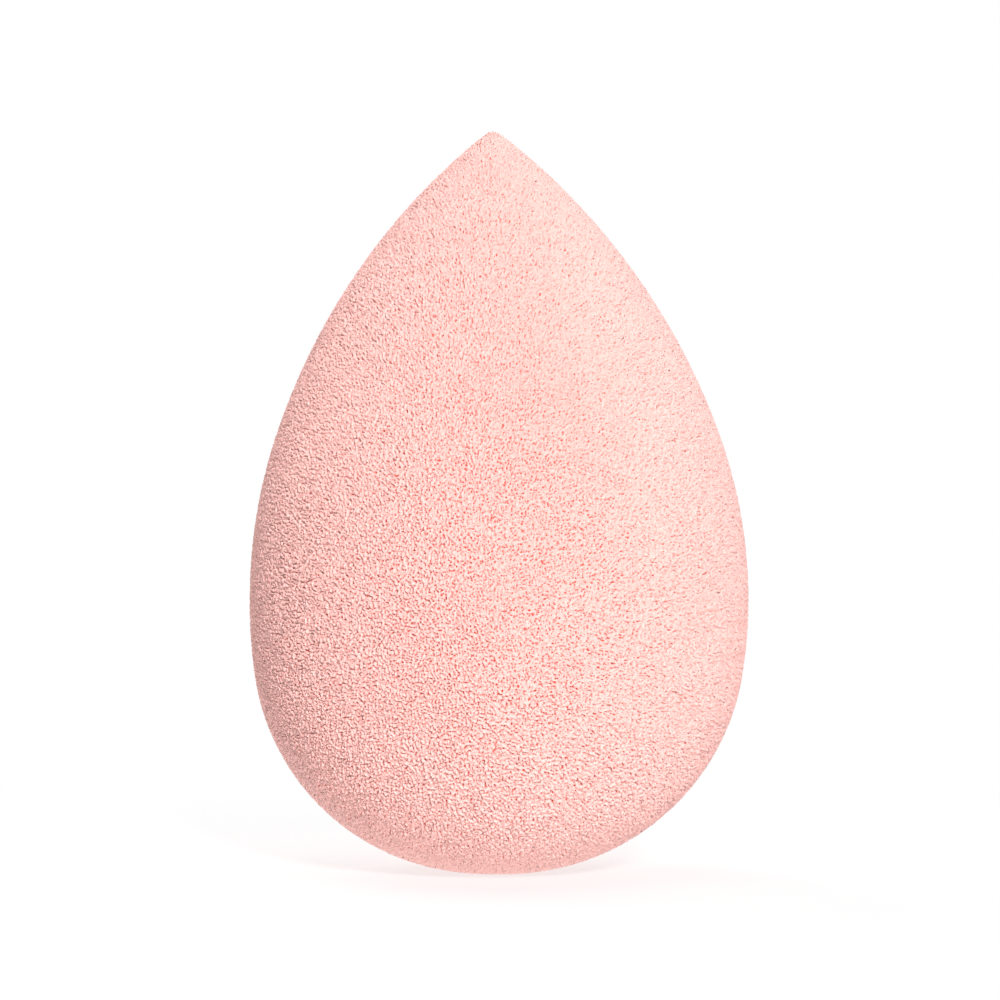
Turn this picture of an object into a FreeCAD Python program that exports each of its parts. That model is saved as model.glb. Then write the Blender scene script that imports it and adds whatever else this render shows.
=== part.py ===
import FreeCAD, Part
import os

# Makeup sponge: one moulded teardrop of open-cell foam, in millimetres.
# The origin is the middle of the small flat that the sponge stands on, and +Z runs up to the tip.
# The body is turned from a half outline: the rest flat, the heel, the belly, the flank and the tip.
# Each arc of the outline runs into the next without a corner, and only the rest flat has an edge.

# Driving dimensions of the dry sponge
sponge_height = 60.0  # from the rest flat to the top of the tip
belly_diameter = 40.4  # across the widest girth
belly_height = 22.0  # from the rest flat up to the widest girth
belly_radius = 41.0  # the gentle curve of the side, seen in outline
flank_start = 13.5  # how far above the widest girth the side turns into the flank
heel_start = 6.0  # how far below the widest girth the side turns into the heel
tip_radius = 1.0  # the round end of the tip
rest_diameter = 6.0  # the flat that the sponge stands on

REST_CENTRE = FreeCAD.Vector(0, 0, 0)
UP = FreeCAD.Vector(0, 0, 1)
FULL_TURN = 360


def belly_normal(rise):
    """The outward normal of the belly arc at a height above, or below, the widest girth."""
    sine = rise / belly_radius
    return FreeCAD.Vector((1 - sine**2) ** 0.5, 0, sine)


def outline_arc(centre, radius, low_normal, high_normal):
    """One arc of the half outline, between the outward normals at its two ends."""
    middle_normal = (low_normal + high_normal).normalize()
    points = [centre + normal * radius for normal in (low_normal, middle_normal, high_normal)]
    return Part.Arc(*points).toShape()


def sponge_outline():
    """The half outline in the XZ plane, from the rest flat round to the tip and back down the axis."""
    belly_centre = FreeCAD.Vector(belly_diameter / 2 - belly_radius, 0, belly_height)
    tip_centre = UP * (sponge_height - tip_radius)
    tip_top = UP * sponge_height
    rest_edge = FreeCAD.Vector(rest_diameter / 2, 0, 0)

    # The heel leaves the belly along its tangent and ends on the edge of the rest flat.
    heel_normal = belly_normal(-heel_start)
    heel_top = belly_centre + heel_normal * belly_radius
    heel_chord = heel_top - rest_edge
    heel_radius = heel_chord.dot(heel_chord) / (2 * heel_normal.dot(heel_chord))
    heel_centre = heel_top - heel_normal * heel_radius
    rest_normal = (rest_edge - heel_centre).normalize()

    # The flank leaves the belly along its tangent and closes round the tip, touching it from outside.
    flank_normal = belly_normal(flank_start)
    flank_foot = belly_centre + flank_normal * belly_radius
    to_foot = flank_foot - tip_centre
    flank_radius = (to_foot.dot(to_foot) - tip_radius**2) / (2 * (flank_normal.dot(to_foot) - tip_radius))
    flank_centre = flank_foot - flank_normal * flank_radius
    tip_normal = (tip_centre - flank_centre).normalize()

    print(f"heel radius {heel_radius:.2f} mm, flank radius {flank_radius:.2f} mm")
    return Part.Wire([
        Part.LineSegment(REST_CENTRE, rest_edge).toShape(),
        outline_arc(heel_centre, heel_radius, rest_normal, heel_normal),
        outline_arc(belly_centre, belly_radius, heel_normal, flank_normal),
        outline_arc(flank_centre, flank_radius, flank_normal, tip_normal),
        outline_arc(tip_centre, tip_radius, tip_normal, UP),
        Part.LineSegment(tip_top, REST_CENTRE).toShape(),
    ])


def foam_sponge():
    """The whole sponge, its half outline turned about the axis."""
    half_section = Part.Face(sponge_outline())
    return half_section.revolve(REST_CENTRE, UP, FULL_TURN)


sponge = foam_sponge()
os.makedirs("parts", exist_ok=True)
sponge.exportStep("parts/foam_sponge.step")

box = sponge.BoundBox
print(f"foam_sponge: valid {sponge.isValid()}, {len(sponge.Solids)} solid, {len(sponge.Faces)} faces")
print(f"volume {sponge.Volume:.0f} mm3, area {sponge.Area:.0f} mm2")
print(f"box {box.XLength:.2f} x {box.YLength:.2f} x {box.ZLength:.2f} mm")
print(f"centre of mass {sponge.CenterOfMass.z:.2f} mm above the rest flat")
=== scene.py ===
# %% [markdown]
# # A makeup sponge
# The object is one teardrop of soft foam, 60 mm tall, that dabs and blends make-up.
# It has no seam, cover or joint, so everything that the eye reads is its outline and its pores.
# The CAD model fixes the outline. This file gives it the skin of cut foam, a camera and lights.

# %% The fixed frame
import math

import bpy
import numpy as np
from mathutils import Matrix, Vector


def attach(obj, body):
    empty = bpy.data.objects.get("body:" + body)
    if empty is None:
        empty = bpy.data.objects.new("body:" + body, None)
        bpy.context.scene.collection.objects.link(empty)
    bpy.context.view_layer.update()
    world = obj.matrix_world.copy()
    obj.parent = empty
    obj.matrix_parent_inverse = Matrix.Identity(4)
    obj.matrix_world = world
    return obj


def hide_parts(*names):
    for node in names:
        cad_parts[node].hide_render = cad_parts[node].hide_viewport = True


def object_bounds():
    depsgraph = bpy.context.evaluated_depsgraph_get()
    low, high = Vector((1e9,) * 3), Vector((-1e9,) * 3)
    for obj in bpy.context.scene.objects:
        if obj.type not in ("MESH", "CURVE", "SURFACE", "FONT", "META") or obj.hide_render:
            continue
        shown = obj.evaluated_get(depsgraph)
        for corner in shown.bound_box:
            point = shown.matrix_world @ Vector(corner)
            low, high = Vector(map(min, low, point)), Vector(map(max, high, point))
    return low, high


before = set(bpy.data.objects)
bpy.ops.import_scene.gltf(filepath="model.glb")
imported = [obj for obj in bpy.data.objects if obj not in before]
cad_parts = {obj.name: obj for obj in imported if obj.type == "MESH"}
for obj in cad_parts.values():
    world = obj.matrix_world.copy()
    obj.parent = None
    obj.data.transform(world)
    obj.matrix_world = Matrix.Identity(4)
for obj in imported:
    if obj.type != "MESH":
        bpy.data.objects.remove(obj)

MM = 0.001
SPONGE_NODE = "foam_sponge"

cad_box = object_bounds()
base_centre = Vector(((cad_box[0].x + cad_box[1].x) / 2, (cad_box[0].y + cad_box[1].y) / 2, cad_box[0].z))
sponge_height = cad_box[1].z - cad_box[0].z
sponge_width = cad_box[1].x - cad_box[0].x
print(f"The sponge is {sponge_height / MM:.1f} mm tall and {sponge_width / MM:.1f} mm wide.")

# %% [markdown]
# ## Sums with sockets
# A node tree drawn by hand is quick to read, and one written as a list of links isn't.
# So a small class stands for one socket, and Python's own signs then add the Math nodes:
# `1 - pore` puts in a Subtract node. Every other node comes from one method, `add`,
# which takes the node's type, its settings and what goes into its sockets.
# Both kinds of tree below, for the shape and for the finish, are written with it.

# %% One socket of a node tree
class Wire:
    """One output socket. Sums on wires add Math nodes to the wire's tree."""

    def __init__(self, tree, socket=None):
        self.tree = tree
        self.socket = socket

    def add(self, kind, settings=None, sockets=None, output=0):
        """Adds a node. The settings come first, because they decide which sockets it has."""
        node = self.tree.nodes.new(kind)
        for name, value in (settings or {}).items():
            setattr(node, name, value)
        for name, value in (sockets or {}).items():
            if isinstance(value, Wire):
                self.tree.links.new(value.socket, node.inputs[name])
            else:
                node.inputs[name].default_value = value
        if len(node.outputs) == 0:
            return node
        return Wire(self.tree, node.outputs[output])

    def out(self, name):
        """Another output of the node that this wire leaves."""
        return Wire(self.tree, self.socket.node.outputs[name])

    def sum_node(self, operation, *values):
        """A Math node. The values go into its sockets in order."""
        return self.add("ShaderNodeMath", {"operation": operation}, dict(enumerate(values)))

    def vector(self, operation, sockets):
        """A Vector Math node."""
        return self.add("ShaderNodeVectorMath", {"operation": operation}, sockets, "Vector")

    def __add__(self, other):
        return self.sum_node("ADD", self, other)

    def __sub__(self, other):
        return self.sum_node("SUBTRACT", self, other)

    def __rsub__(self, other):
        return self.sum_node("SUBTRACT", other, self)

    def __mul__(self, other):
        return self.sum_node("MULTIPLY", self, other)

    def __truediv__(self, other):
        return self.sum_node("DIVIDE", self, other)

    def __rtruediv__(self, other):
        return self.sum_node("DIVIDE", other, self)

    def __pow__(self, other):
        return self.sum_node("POWER", self, other)

    def __abs__(self):
        return self.sum_node("ABSOLUTE", self)

    __radd__ = __add__
    __rmul__ = __mul__


print(f"{Wire.__name__} stands for one socket.")

# %% [markdown]
# ## The outline
# The foam is round about its axis, so half an outline says all there is to say of its form.
# It could be typed in again as arcs, but then two files would have to agree. It is read from the CAD
# solid instead: each of its vertices lies on the true surface, so its distance from the axis and its
# height are one point of the outline. A Bézier curve with automatic handles runs through them smoothly.

# %% Half an outline from the CAD solid
OUTLINE_STEP = 0.35 * MM


def outline_points(node):
    """Points from the middle of the base to the tip, as distance from the axis and height."""
    places = np.array([vertex.co - base_centre for vertex in node.data.vertices])
    radius = np.hypot(places[:, 0], places[:, 1])
    height = places[:, 2]
    turn = np.arctan2(radius, sponge_height / 2 - height)
    points = [(0.0, 0.0)]
    for index in np.argsort(turn):
        point = (radius[index], height[index])
        if math.dist(point, points[-1]) > OUTLINE_STEP and radius[index] > OUTLINE_STEP / 2:
            points.append(point)
    return points + [(0.0, sponge_height)]


def outline_curve(points):
    """One open Bézier spline in the XZ plane."""
    curve = bpy.data.curves.new("sponge_outline", "CURVE")
    curve.dimensions = "3D"
    spline = curve.splines.new("BEZIER")
    spline.bezier_points.add(len(points) - 1)
    for bezier, (radius, height) in zip(spline.bezier_points, points):
        bezier.co = (radius, 0.0, height)
        bezier.handle_left_type = "AUTO"
        bezier.handle_right_type = "AUTO"
    made = bpy.data.objects.new("sponge_outline", curve)
    bpy.context.scene.collection.objects.link(made)
    return made


points = outline_points(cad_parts[SPONGE_NODE])
outline = outline_curve(points)
print(f"The outline has {len(points)} points.")

# %% [markdown]
# ## The form, as a rule
# Foam could be sculpted by hand, but its form follows a rule, and Geometry Nodes can state a rule.
# An ico sphere has no poles, so its small triangles lie evenly. Each point's angle from the base
# picks a place along the outline, which says how high it lies and how far out.
# A slight bow then moves the belly aside and the tip back, as moulded foam is never quite straight.

# %% The turned form
SUBDIVISIONS = 9
LEAN = 0.5 * MM
LEAN_CENTRE = 23.0 * MM
LEAN_POWER = 1.5
LEAN_BALANCE = 0.5


def stored(wire, geometry, kind, name, value):
    """Keeps a value on every point of a mesh, under a name."""
    return wire.add(
        "GeometryNodeStoreNamedAttribute",
        {"data_type": kind, "domain": "POINT"},
        {"Geometry": geometry, "Name": name, "Value": value},
    )


def recalled(wire, kind, name):
    """A value that was kept on the points, by its name."""
    return wire.add("GeometryNodeInputNamedAttribute", {"data_type": kind}, {"Name": name})


def turned_form(wire, given):
    """A ball whose points are moved onto the outline, turned about the axis and bowed a little."""
    ball = wire.add(
        "GeometryNodeMeshIcoSphere",
        None,
        {"Radius": 1.0, "Subdivisions": given.out("Subdivisions")},
        "Mesh",
    )
    direction = wire.add("GeometryNodeInputPosition")
    ball = stored(wire, ball, "FLOAT_VECTOR", "direction", direction)
    up = wire.add("ShaderNodeSeparateXYZ", None, {"Vector": direction}, "Z")
    turn = wire.sum_node("ARCCOSINE", up * -1.0) / math.pi
    curve = wire.add("GeometryNodeObjectInfo", None, {"Object": given.out("Outline")}, "Geometry")
    spot = wire.add(
        "GeometryNodeSampleCurve",
        {"mode": "FACTOR", "data_type": "FLOAT", "use_all_curves": True},
        {"Curves": curve, "Factor": turn},
        "Position",
    )
    far = wire.add("ShaderNodeSeparateXYZ", None, {"Vector": spot}, "X")
    high = far.out("Z")
    flat = wire.add("ShaderNodeCombineXYZ", None, {"X": up.out("X"), "Y": up.out("Y"), "Z": 0.0})
    ring = wire.vector("SCALE", {0: wire.vector("NORMALIZE", {0: flat}), "Scale": far})
    above = abs(high - given.out("Lean Centre")) / (given.out("Height") - given.out("Lean Centre"))
    aside = given.out("Lean") * (LEAN_BALANCE - above ** LEAN_POWER)
    lift = wire.add("ShaderNodeCombineXYZ", None, {"X": aside, "Y": 0.0, "Z": high})
    place = wire.vector("ADD", {0: ring, 1: lift})
    return wire.add("GeometryNodeSetPosition", None, {"Geometry": ball, "Position": place})


print(f"The bow moves the belly {LEAN * LEAN_BALANCE / MM:.2f} mm to one side.")

# %% [markdown]
# ## Pores
# A cut through foam leaves a wall round every bubble and a pit inside it. A Voronoi pattern gives the
# distance to the nearest of many scattered centres, and a soft noise added to it joins some pits into
# short strokes. Chance makes some patches deeper than others, and real foam is more even than that.
# So a Blur Attribute node finds the pattern's mean round each point, and that is taken off again.
# What is left is pressed into the mesh, so that light from the side catches on the walls.

# %% The pore pattern
PORE_SPACING = 0.160 * MM
PORE_DEPTH = 0.50 * MM
PORE_POWER = 1.8
STROKE_SCALE = 1.2
EVENING_STEPS = 4
RIDGE_LEVEL = 0.37
FLOOR_LEVEL = -0.36
NOISE_MIDDLE = 0.5
FOAM_SEED = 7
SEED_STEP = 31.7


def soft_noise(wire, place, scale):
    """A smooth noise about zero."""
    noise = wire.add(
        "ShaderNodeTexNoise", {"noise_dimensions": "3D"}, {"Vector": place, "Scale": scale, "Detail": 0.0}
    )
    return noise - NOISE_MIDDLE


def foam_level(wire, place):
    """The raw pattern: low in the cells' centres and along short strokes, and high on the walls between."""
    cell = wire.add(
        "ShaderNodeTexVoronoi",
        {"voronoi_dimensions": "3D", "feature": "F1"},
        {"Vector": place, "Scale": 1.0, "Randomness": 1.0},
        "Distance",
    )
    return cell + soft_noise(wire, place, STROKE_SCALE)


def pit_depth(wire, place, mean):
    """How deep the skin lies, from 0 on the highest wall to 1 on the floor of a pore."""
    low = wire.add(
        "ShaderNodeMapRange",
        {"clamp": True},
        {
            "Value": foam_level(wire, place) - mean,
            "From Min": RIDGE_LEVEL,
            "From Max": FLOOR_LEVEL,
            "To Min": 0.0,
            "To Max": 1.0,
        },
        "Result",
    )
    return low ** PORE_POWER


def foam_skin(wire, given, form):
    """Presses pores into the form, and keeps each point's place in the pattern for the finish."""
    skin = wire.add("GeometryNodeInputPosition")
    even = wire.vector("SCALE", {0: skin, "Scale": 1.0 / given.out("Pore Spacing")})
    shift = wire.add("ShaderNodeCombineXYZ", None, {"X": given.out("Seed") * SEED_STEP, "Y": 0.0, "Z": 0.0})
    form = stored(wire, form, "FLOAT_VECTOR", "pore_place", wire.vector("ADD", {0: even, 1: shift}))
    place = recalled(wire, "FLOAT_VECTOR", "pore_place")
    around = wire.add(
        "GeometryNodeBlurAttribute",
        {"data_type": "FLOAT"},
        {"Value": foam_level(wire, place), "Iterations": EVENING_STEPS, "Weight": 1.0},
    )
    form = stored(wire, form, "FLOAT", "pore_mean", around)
    pit = pit_depth(wire, place, recalled(wire, "FLOAT", "pore_mean"))
    normal = wire.add("GeometryNodeInputNormal")
    inward = wire.vector("SCALE", {0: normal, "Scale": pit * given.out("Pore Depth") * -1.0})
    return wire.add("GeometryNodeSetPosition", None, {"Geometry": form, "Offset": inward})


print(f"The deepest pits go {PORE_DEPTH / MM:.2f} mm in.")

# %% [markdown]
# ## One tree for the whole rule
# The form and its skin are two halves of one rule, so they share a tree. Two modifiers in a row would
# do as well, but then each would need its own inputs. The sizes are named inputs, which can be changed
# without opening the tree. Its last nodes make the outcome real and give it the foam's material.

# %% The sponge's node tree
FORM_INPUTS = {
    "Outline": "NodeSocketObject",
    "Subdivisions": "NodeSocketInt",
    "Height": "NodeSocketFloat",
    "Lean": "NodeSocketFloat",
    "Lean Centre": "NodeSocketFloat",
    "Pore Spacing": "NodeSocketFloat",
    "Pore Depth": "NodeSocketFloat",
    "Seed": "NodeSocketInt",
    "Foam": "NodeSocketMaterial",
}


def form_tree():
    """The whole rule: the turned form, its skin and its finish."""
    tree = bpy.data.node_groups.new("sponge_form", "GeometryNodeTree")
    tree.interface.new_socket("Geometry", in_out="INPUT", socket_type="NodeSocketGeometry")
    for name, kind in FORM_INPUTS.items():
        tree.interface.new_socket(name, in_out="INPUT", socket_type=kind)
    tree.interface.new_socket("Geometry", in_out="OUTPUT", socket_type="NodeSocketGeometry")
    wire = Wire(tree)
    given = wire.add("NodeGroupInput")
    rough = foam_skin(wire, given, turned_form(wire, given))
    rough = wire.add("GeometryNodeSetShadeSmooth", None, {"Geometry": rough, "Shade Smooth": True})
    rough = wire.add("GeometryNodeRealizeInstances", None, {"Geometry": rough})
    rough = wire.add("GeometryNodeSetMaterial", None, {"Geometry": rough, "Material": given.out("Foam")})
    wire.add("NodeGroupOutput", None, {"Geometry": rough})
    return tree


rule = form_tree()
print(f"{rule.name} has {len(rule.nodes)} nodes.")

# %% [markdown]
# ## The finish of the foam
# The foam is dyed, and pale coral on its cut skin. Inside the pores the colour is painted a deeper coral.
# This is painted shade, which stands in for the shade in the pits and for the light that bounces from wall
# to wall there. A pore is only three triangles wide, so the shader works the pattern out again for every
# pixel, from the places that the mesh carries, and uses it twice.
# The deepest pits take the painted shade in full, and a Bump node sharpens the pits that the mesh has.
# The bump stays small: the depth is in the mesh, and a strong bump only turns the foam dull.

# %% The foam material
SKIN_COLOUR = (0.985, 0.568, 0.524)
# The second colour is painted shade: a darker, deeper coral for the pits, in place of their shade and the
# light that bounces inside them.
PIT_SHADE_COLOUR = (0.740, 0.070, 0.035)
# This power sets how far up the pit walls the painted shade reaches.
PIT_SHADE_POWER = 3.4
FINE_RELIEF = 0.08 * MM
FOAM_ROUGHNESS = 0.85
FOAM_SHINE = 0.3

# A Mix node has sockets for every kind of value. These are the places of its colours.
MIX_FIRST = 6
MIX_SECOND = 7
MIX_RESULT = 2


def carried(wire, name, output):
    """A value that the mesh carries."""
    settings = {"attribute_type": "GEOMETRY", "attribute_name": name}
    return wire.add("ShaderNodeAttribute", settings, None, output)


def foam_material():
    """Pale coral-pink foam, matt, with deeper pores that are painted a darker coral inside as painted
    shade.
    """
    material = bpy.data.materials.new("coral_foam")
    material.use_nodes = True
    material.node_tree.nodes.clear()
    wire = Wire(material.node_tree)
    pore = pit_depth(wire, carried(wire, "pore_place", "Vector"), carried(wire, "pore_mean", "Fac"))
    # Painted shade: the deeper a pit is, the more of the darker coral it is painted with.
    colour = wire.add(
        "ShaderNodeMix",
        {"data_type": "RGBA"},
        {"Factor": pore ** PIT_SHADE_POWER, MIX_FIRST: (*SKIN_COLOUR, 1.0), MIX_SECOND: (*PIT_SHADE_COLOUR, 1.0)},
        MIX_RESULT,
    )
    relief = wire.add(
        "ShaderNodeBump", None, {"Strength": 1.0, "Distance": FINE_RELIEF, "Height": 1.0 - pore}
    )
    skin = wire.add(
        "ShaderNodeBsdfPrincipled",
        None,
        {
            "Base Color": colour,
            "Roughness": FOAM_ROUGHNESS,
            "Specular IOR Level": FOAM_SHINE,
            "Normal": relief,
        },
    )
    wire.add("ShaderNodeOutputMaterial", None, {"Surface": skin})
    return material


foam = foam_material()
print(f"{foam.name} has {len(foam.node_tree.nodes)} nodes.")

# %% [markdown]
# ## Making the mesh
# The modifier's sizes are set by each socket's identifier before it first runs. The result is copied
# into a plain mesh, and the modifier goes. The mesh has over a million small triangles, because a pore
# is only about a third of a millimetre wide and its pit has to be real.

# %% From the rule to a plain mesh
def set_input(modifier, name, value):
    """Finds the socket of that name, and sets the modifier's input by its identifier."""
    for item in modifier.node_group.interface.items_tree:
        if item.item_type == "SOCKET" and item.in_out == "INPUT" and item.name == name:
            modifier[item.identifier] = value


def grown_mesh(tree, sizes, name):
    """Runs a tree on an empty mesh, and returns the outcome as a plain mesh."""
    holder = bpy.data.objects.new(name, bpy.data.meshes.new(name + "_start"))
    bpy.context.scene.collection.objects.link(holder)
    modifier = holder.modifiers.new("form", "NODES")
    modifier.node_group = tree
    for key, value in sizes.items():
        set_input(modifier, key, value)
    layer = bpy.context.evaluated_depsgraph_get()
    mesh = bpy.data.meshes.new_from_object(holder.evaluated_get(layer))
    holder.modifiers.clear()
    holder.data = mesh
    mesh.name = name
    return holder


sponge = grown_mesh(
    rule,
    {
        "Outline": outline,
        "Subdivisions": SUBDIVISIONS,
        "Height": sponge_height,
        "Lean": LEAN,
        "Lean Centre": LEAN_CENTRE,
        "Pore Spacing": PORE_SPACING,
        "Pore Depth": PORE_DEPTH,
        "Seed": FOAM_SEED,
        "Foam": foam,
    },
    "foam_body",
)
bpy.data.objects.remove(outline)
print(f"{sponge.name} has {len(sponge.data.polygons)} triangles.")

# %% [markdown]
# ## A map for the colours
# Other programs can't run these nodes, so the finish would have to be baked into a picture, and that needs
# a UV map. Cutting such a skin into flat islands would make thousands of them. A sphere folds onto
# a square without any, as an octahedron does when its lower half is opened outwards, and this
# formula gives equal areas of the sphere equal areas of the square.

# %% The folded square
MAP_NAME = "OFBake"
MAP_MIDDLE = 0.5
MAP_REACH = 0.498
AXES = 3
CORNERS = 3


def folded_square(direction, side):
    """Places on the unit square for unit directions. side holds the signs of x and y to fold by."""
    height = np.abs(direction[:, 2])
    radius = np.sqrt(np.clip(1.0 - height, 0.0, 1.0))
    angle = np.arctan2(np.abs(direction[:, 1]), np.abs(direction[:, 0])) / (math.pi / 2)
    across = radius * (1.0 - angle)
    along = radius * angle
    below = direction[:, 2] < 0
    across, along = np.where(below, 1.0 - along, across), np.where(below, 1.0 - across, along)
    return MAP_MIDDLE + MAP_REACH * side * np.stack([across, along], axis=1)


def lay_out(mesh):
    """Adds the UV map, from the directions that the tree stored, and returns the number of corners."""
    corner = np.empty(len(mesh.loops), np.int32)
    mesh.loops.foreach_get("vertex_index", corner)
    direction = np.empty(len(mesh.vertices) * AXES, np.float32)
    mesh.attributes["direction"].data.foreach_get("vector", direction)
    direction = direction.reshape(-1, AXES)[corner]
    middle = direction.reshape(-1, CORNERS, AXES).mean(axis=1).repeat(CORNERS, axis=0)
    own = np.where(middle[:, 2:] > 0, direction, middle)
    side = np.where(own[:, :2] < 0, -1.0, 1.0)
    layer = mesh.uv_layers.new(name=MAP_NAME)
    layer.uv.foreach_set("vector", folded_square(direction, side).astype(np.float32).ravel())
    mesh.attributes.remove(mesh.attributes["direction"])
    return len(corner)


print(f"The map places {lay_out(sponge.data)} corners.")
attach(sponge, "root")
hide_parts(SPONGE_NODE)

# %% [markdown]
# ## The table
# The sponge stands on a plain white table. A painted one would only look white under strong light,
# which would bleach the foam. So a Light Path node makes it white where it is seen, and the foam's own
# colours hold. Round the sponge the camera also sees part of the paint, which keeps a soft shadow.
# For the light that falls on the sponge it is a light table, which glows most round the sponge and
# fills the round base from below.

# %% The white table
FLOOR_SIZE = 4.0
FLOOR_PAINT = (0.9, 0.9, 0.9, 1.0)
WHITE = (1.0, 1.0, 1.0, 1.0)
NEAR = 0.04
FAR = 0.10
NEAR_GLOW = 1.25
FAR_GLOW = 0.6
SHADOW_SHARE = 0.3


def seen_or_mirrored(wire):
    """1 for what the camera sees, straight or in a shiny or clear surface, and 0 for other light."""
    path = wire.add("ShaderNodeLightPath", None, None, "Is Camera Ray")
    seen = wire.sum_node("MAXIMUM", path, path.out("Is Glossy Ray"))
    return wire.sum_node("MAXIMUM", seen, path.out("Is Transmission Ray"))


def floor_material():
    """White where it is seen, with a share of paint near the sponge, and a glow for the light it gives."""
    material = bpy.data.materials.new("white_table")
    material.use_nodes = True
    material.node_tree.nodes.clear()
    wire = Wire(material.node_tree)
    place = wire.add("ShaderNodeTexCoord", None, None, "Object")
    away = wire.add("ShaderNodeVectorMath", {"operation": "LENGTH"}, {0: place}, "Value")
    near = wire.add(
        "ShaderNodeMapRange",
        {"interpolation_type": "SMOOTHSTEP"},
        {"Value": away, "From Min": NEAR, "From Max": FAR, "To Min": 1.0, "To Max": 0.0},
        "Result",
    )
    seen = seen_or_mirrored(wire)
    glow = FAR_GLOW + near * (NEAR_GLOW - FAR_GLOW)
    white = wire.add("ShaderNodeEmission", None, {"Color": WHITE, "Strength": glow + seen * (1.0 - glow)})
    paint = wire.add("ShaderNodeBsdfDiffuse", None, {"Color": FLOOR_PAINT})
    mix = wire.add("ShaderNodeMixShader", None, {0: seen * near * SHADOW_SHARE, 1: white, 2: paint})
    wire.add("ShaderNodeOutputMaterial", None, {"Surface": mix})
    return material


def table_floor():
    """A flat square at the height of the base, which is stage and no part of the object."""
    mesh = bpy.data.meshes.new("table_floor")
    half = FLOOR_SIZE / 2
    corners = [(-half, -half, 0.0), (half, -half, 0.0), (half, half, 0.0), (-half, half, 0.0)]
    mesh.from_pydata([Vector(corner) + base_centre for corner in corners], [], [(0, 1, 2, 3)])
    mesh.materials.append(floor_material())
    made = bpy.data.objects.new("table_floor", mesh)
    bpy.context.scene.collection.objects.link(made)
    return made


floor = table_floor()
print(f"{floor.name} is {FLOOR_SIZE:.0f} m wide.")

# %% [markdown]
# ## The room
# A studio's white walls send a little light back from everywhere. They could be built as a box round
# the table, but the world's background does the same from all sides without any mesh.
# To the camera it is as white as the table, so no edge shows where the table ends.

# %% The white room
ROOM_LIGHT = 0.14


def white_room():
    """A world that is white where it is seen, and dim as a light."""
    world = bpy.data.worlds.new("white_room")
    world.use_nodes = True
    world.node_tree.nodes.clear()
    wire = Wire(world.node_tree)
    strength = ROOM_LIGHT + (1.0 - ROOM_LIGHT) * seen_or_mirrored(wire)
    back = wire.add("ShaderNodeBackground", None, {"Color": WHITE, "Strength": strength})
    wire.add("ShaderNodeOutputWorld", None, {"Surface": back})
    bpy.context.scene.world = world
    return world


print(f"{white_room().name} lights with {ROOM_LIGHT} of white.")

# %% [markdown]
# ## Lamps
# One small key light stands near the camera, raised and a little to the right. It lights the front of
# the foam evenly and rakes over the left side and the base, where the pores then stand out.
# A large box overhead lightens the upper part, and two behind, left and right, light the sides
# and the back. All four lie on one sphere about the sponge.

# %% Soft boxes
middle = base_centre + Vector((0.0, 0.0, sponge_height / 2))
LAMP_DISTANCE = 0.6
LAMPS = {
    "key": {"turn": 12, "rise": 20, "size": 0.10, "watts": 3.95},
    "overhead": {"turn": 0, "rise": 86, "size": 0.5, "watts": 1.1},
    "back left": {"turn": -140, "rise": 30, "size": 0.5, "watts": 3.0},
    "back right": {"turn": 140, "rise": 30, "size": 0.5, "watts": 1.6},
}


def soft_box(name, turn, rise, size, watts):
    """A round area light that faces the sponge. turn runs from the camera to the right, rise upwards."""
    light = bpy.data.lights.new(name, "AREA")
    light.shape = "DISK"
    light.size = size
    light.energy = watts
    made = bpy.data.objects.new(name, light)
    turn = math.radians(turn)
    rise = math.radians(rise)
    towards = Vector((math.sin(turn) * math.cos(rise), -math.cos(turn) * math.cos(rise), math.sin(rise)))
    made.location = middle + towards * LAMP_DISTANCE
    made.rotation_euler = towards.to_track_quat("Z", "Y").to_euler()
    bpy.context.scene.collection.objects.link(made)
    return made


for name, lamp in LAMPS.items():
    soft_box(name, **lamp)
    print(f"{name}: {lamp['watts']} W")

# %% [markdown]
# ## The camera
# The photo shows the sponge level with its middle, and its sides hardly lean, so the lens is long.
# The distance follows from how many pixels the sponge takes up, and a small step aside
# puts it in the same place in the picture.

# %% A camera as in the photo
PHOTO_SIZE = 1000
SPONGE_PIXELS = 740
SPONGE_MIDDLE = (496, 501)
LENS = 135.0


def photo_camera():
    """A level camera, at the distance from which the sponge takes up its share of the picture."""
    camera = bpy.data.cameras.new("photo_camera")
    camera.lens = LENS
    made = bpy.data.objects.new("photo_camera", camera)
    view = sponge_height * PHOTO_SIZE / SPONGE_PIXELS
    distance = view * LENS / camera.sensor_width
    pixel = view / PHOTO_SIZE
    aside = (PHOTO_SIZE / 2 - SPONGE_MIDDLE[0]) * pixel
    up = (SPONGE_MIDDLE[1] - PHOTO_SIZE / 2) * pixel
    made.location = middle + Vector((aside, -distance, up))
    made.rotation_euler = (math.pi / 2, 0.0, 0.0)
    bpy.context.scene.collection.objects.link(made)
    bpy.context.scene.camera = made
    return made


camera = photo_camera()
bpy.context.scene.view_settings.view_transform = "Standard"
print(f"The camera stands {-camera.location.y / MM:.0f} mm in front.")

# %% [markdown]
# ## A last measure
# The finished foam has to fill the space that the CAD model gives it and hardly pass it.
# The CAD model's box is printed.

# %% The CAD box
print("CAD box", [[round(x / MM, 2) for x in corner] for corner in cad_box])
